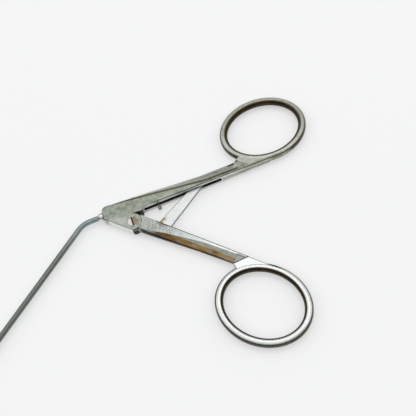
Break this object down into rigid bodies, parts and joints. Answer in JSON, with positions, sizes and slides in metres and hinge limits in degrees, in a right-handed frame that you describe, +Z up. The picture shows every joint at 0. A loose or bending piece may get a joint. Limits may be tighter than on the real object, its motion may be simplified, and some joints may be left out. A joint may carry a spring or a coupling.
{
  "type": "micro-laryngeal forceps",
  "caption": "Ring-handled laryngeal forceps of satin steel with a cranked tubular shaft, a pivoting jaw, a slotted pivot screw and a sprung strut between the handles.",
  "frame": {"origin": "on the axis of the handles' pivot screw, in the plane the instrument lies on, at rest with the handles open", "axes": "+Z up, along the pivot screw; +X midway between the handles, from the pivot towards the finger rings; +Y towards the fixed handle's ring"},
  "size_m": [0.1793, 0.2245, 0.0043],
  "materials": {
    "satin_steel": "satin",
    "bright_steel": "polished",
    "spring_steel": "satin",
    "drive_steel": "ground",
    "tube_steel": "satin"
  },
  "bodies": {
    "frame": {"fixed_handle": "satin_steel", "pivot_screw": "bright_steel", "stop_screw": "bright_steel", "groove_spring": "spring_steel", "block_stop_pin": "bright_steel", "flex_wire": "drive_steel", "shaft_tube": "tube_steel", "shaft_ferrule": "bright_steel", "jaw_housing": "tube_steel", "jaw_pivot_pin": "bright_steel"},
    "lever": {"moving_handle": "satin_steel", "drive_pin": "bright_steel", "strut_rivet": "bright_steel"},
    "strut": {"spring_strut": "spring_steel"},
    "slider": {"push_block": "drive_steel", "rear_wire_crimp": "drive_steel"},
    "rod": {"front_push_rod": "drive_steel", "front_wire_crimp": "drive_steel", "rod_fork": "drive_steel", "cam_pin": "bright_steel"},
    "jaw": {"moving_jaw": "tube_steel"}
  },
  "joints": [
    {"name": "handle_pivot", "type": "hinge", "parent": "frame", "child": "lever", "pos_m": [0, 0, 0.0021], "axis": [0, 0, 1], "range_deg": [0, 27], "stiffness_Nm_per_rad": 0.25, "springref_deg": -20.05},
    {"name": "strut_pivot", "type": "hinge", "parent": "lever", "child": "strut", "pos_m": [0.0107, -0.0018, 0.0021], "axis": [0, 0, 1], "range_deg": [-40.55, 0]},
    {"name": "block_slide", "type": "slide", "parent": "frame", "child": "slider", "axis": [-0.9171, -0.3987, 0], "range_m": [0, 0.00234]},
    {"name": "rod_slide", "type": "slide", "parent": "frame", "child": "rod", "axis": [-0.4679, -0.8838, 0], "range_m": [0, 0.00234]},
    {"name": "jaw_pivot", "type": "hinge", "parent": "frame", "child": "jaw", "pos_m": [-0.10203, -0.15745, 0.0021], "axis": [0, 0, 1], "range_deg": [0, 42.1]}
  ],
  "couplings": [
    {"joint": "strut_pivot", "follows": "handle_pivot", "ratio": -1.4944},
    {"joint": "block_slide", "follows": "handle_pivot", "m_per_rad": 0.0049539},
    {"joint": "rod_slide", "follows": "handle_pivot", "m_per_rad": 0.0049539},
    {"joint": "jaw_pivot", "follows": "handle_pivot", "ratio": 1.5556}
  ]
}
